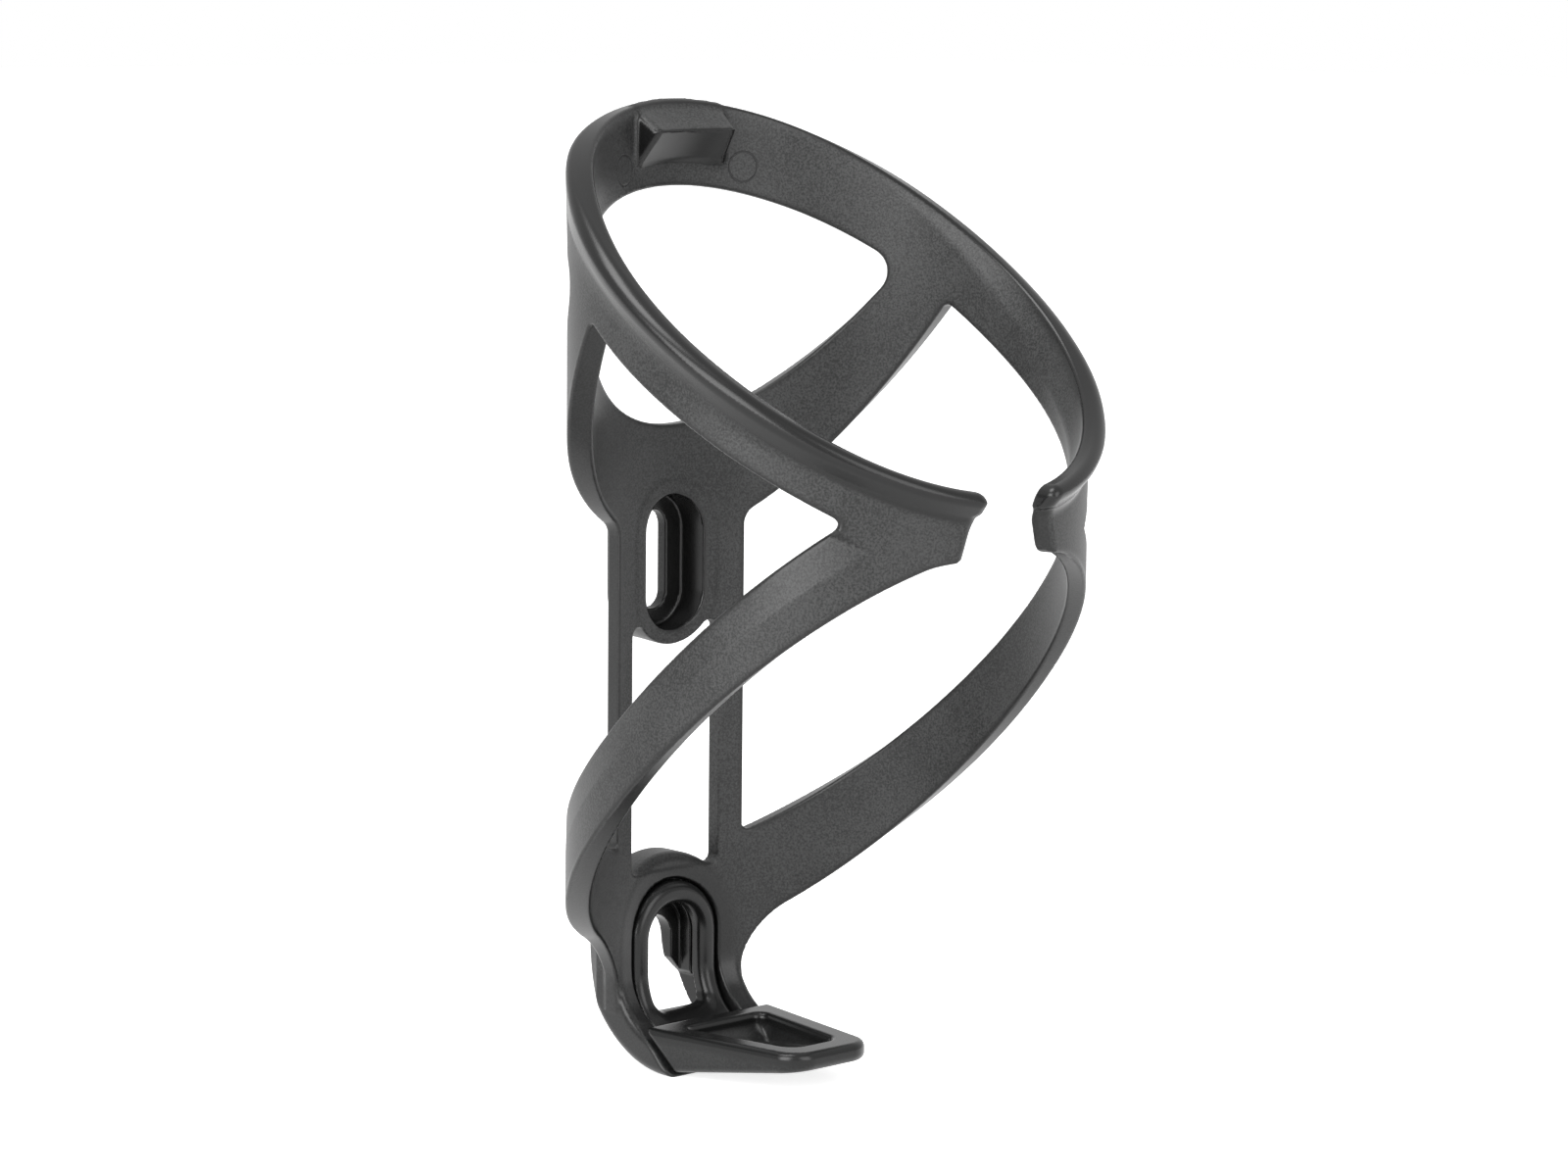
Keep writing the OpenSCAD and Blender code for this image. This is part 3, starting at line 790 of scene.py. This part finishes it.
class CAGE_OT_spine(bpy.types.Operator):
    """Builds the spine with its window and the standoff round the upper bolt"""
    bl_idname = "cage.spine"
    bl_label = "Make Spine"

    def execute(self, context):
        return make_limb(context, "cage_spine", ["spine", "upper_standoff"])


class CAGE_OT_arms(bpy.types.Operator):
    """Builds the two lower arms and the clips where they meet the hoop"""
    bl_idname = "cage.arms"
    bl_label = "Make Arms"

    def execute(self, context):
        return make_limb(context, "cage_arms", ["left_lower_arm", "right_lower_arm",
                                                "left_front_clip", "right_front_clip"])


class CAGE_OT_heel(bpy.types.Operator):
    """Builds the heel round the lower bolt's keyhole, with the channel for the foot"""
    bl_idname = "cage.heel"
    bl_label = "Make Heel"

    def execute(self, context):
        return make_limb(context, "cage_heel", ["heel"])


class CAGE_OT_foot(bpy.types.Operator):
    """Builds the foot: the arch in the heel and the shelf under the bottle"""
    bl_idname = "cage.foot"
    bl_label = "Make Foot"

    def execute(self, context):
        looks = context.scene.cage_looks
        cage = Cage(*cage_sizes(looks))
        step = looks.voxel * MM * 0.75
        piece = moulded("cage_foot", *net(cage.foot, FOOT_LOW, FOOT_HIGH, step), cage.foot_grained)
        piece.data.materials.append(plastic("foot_plastic", looks.foot_colour, looks))
        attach(piece, "foot")
        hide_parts("foot_arch", "foot_shelf")
        return {"FINISHED"}


# The studio, in metres. Lamps face the cage from their places.
FLOOR_SIZE = 12.0
FLOOR_GLOW = 0.77
FLOOR_BOUNCE = 0.4
KEY_PLACE, KEY_WIDTH = (-0.965, -0.26, 0.4), 0.7
FRONT_PLACE, FRONT_WIDTH = (0.0, -1.0, 0.4), 0.6
TOP_PLACE, TOP_ANGLE = (-0.3, 0.1, 0.95), 0.5
AIM_Z = -0.0003
SENSOR_MM = 36.0


def place_lamp(context, name, data, place):
    """Places a lamp so that it faces the cage."""
    lamp = bpy.data.objects.new(name, data)
    lamp.rotation_euler = Vector(place).to_track_quat("Z", "Y").to_euler()
    lamp.location = Vector(place)
    context.collection.objects.link(lamp)
    return lamp


def camera_place(studio):
    """The camera's place, from its angles round the bottle's axis."""
    turn, rise = studio.camera_turn, studio.camera_rise
    back = Vector((-np.sin(turn) * np.cos(rise), -np.cos(turn) * np.cos(rise), np.sin(rise)))
    right = Vector((np.cos(turn), -np.sin(turn), 0))
    roll = Matrix.Rotation(studio.camera_roll, 3, back)
    right, up = roll @ right, roll @ back.cross(right)
    aim = Vector((0, -TUBE_Y / MM, AIM_Z))
    spot = aim + back * studio.camera_distance - right * studio.camera_side
    return Matrix.Translation(spot) @ Matrix((right, up, back)).transposed().to_4x4()


class CAGE_OT_studio(bpy.types.Operator):
    """Builds the floor, the lights and the camera"""
    bl_idname = "cage.studio"
    bl_label = "Make Studio"

    def execute(self, context):
        studio = context.scene.studio_looks
        bpy.ops.mesh.primitive_plane_add(size=FLOOR_SIZE, location=(0, 0, CAD_BOX[0][2]))
        floor = context.object
        floor.name = "studio_floor"
        paper = bpy.data.materials.new("studio_paper")
        shader = Shader(paper, "Principled BSDF")
        pale = (*studio.floor_colour, 1)
        bounced = tuple(c * FLOOR_BOUNCE for c in pale)
        shader.set(Base_Color=shader.mix(shader.seen(), bounced, pale), Roughness=0.9,
                   Specular_IOR_Level=0.0, Emission_Color=shader.seen() * FLOOR_GLOW,
                   Emission_Strength=1.0)
        floor.data.materials.append(paper)

        world = bpy.data.worlds.new("studio_sky")
        context.scene.world = world
        shader = Shader(world, "Background")
        shader.set(Color=studio.sky + (1 - studio.sky) * shader.seen(), Strength=1.0)
        context.scene.view_settings.view_transform = "Standard"

        for name, place, width, power in (
                ("key_light", KEY_PLACE, KEY_WIDTH, studio.key_power),
                ("front_light", FRONT_PLACE, FRONT_WIDTH, studio.front_power)):
            data = bpy.data.lights.new(name, "AREA")
            data.shape, data.size, data.size_y = "RECTANGLE", width, studio.softbox
            data.energy = power
            place_lamp(context, name, data, place).visible_camera = False
        data = bpy.data.lights.new("top_light", "SUN")
        data.energy, data.angle = studio.top_power, TOP_ANGLE
        place_lamp(context, "top_light", data, TOP_PLACE)

        data = bpy.data.cameras.new("camera")
        camera = bpy.data.objects.new("camera", data)
        context.collection.objects.link(camera)
        data.sensor_width, data.lens = SENSOR_MM, studio.lens
        camera.matrix_world = camera_place(studio)
        context.scene.camera = camera
        return {"FINISHED"}


class CAGE_PT_panel(bpy.types.Panel):
    """Sizes and colours of the cage, and the buttons that build it"""
    bl_idname = "CAGE_PT_panel"
    bl_label = "Bottle Cage"
    bl_space_type = "VIEW_3D"
    bl_region_type = "UI"
    bl_category = "Bottle Cage"

    def draw(self, context):
        for group in (context.scene.cage_looks, context.scene.studio_looks):
            for name in group.bl_rna.properties.keys():
                if name not in ("rna_type", "name"):
                    self.layout.prop(group, name)
        for operator in OPERATORS:
            self.layout.operator(operator.bl_idname)


OPERATORS = (CAGE_OT_hoop, CAGE_OT_stays, CAGE_OT_spine, CAGE_OT_arms, CAGE_OT_heel, CAGE_OT_foot,
             CAGE_OT_studio)
CLASSES = (CageLooks, StudioLooks, *OPERATORS, CAGE_PT_panel)


def register():
    for made in CLASSES:
        bpy.utils.register_class(made)
    bpy.types.Scene.cage_looks = PointerProperty(type=CageLooks)
    bpy.types.Scene.studio_looks = PointerProperty(type=StudioLooks)


def unregister():
    del bpy.types.Scene.studio_looks
    del bpy.types.Scene.cage_looks
    for made in reversed(CLASSES):
        bpy.utils.unregister_class(made)


def main():
    """Builds the whole scene."""
    register()
    bpy.ops.cage.hoop()
    bpy.ops.cage.stays()
    bpy.ops.cage.spine()
    bpy.ops.cage.arms()
    bpy.ops.cage.heel()
    bpy.ops.cage.foot()
    bpy.ops.cage.studio()


if __name__ == "__main__":
    main()
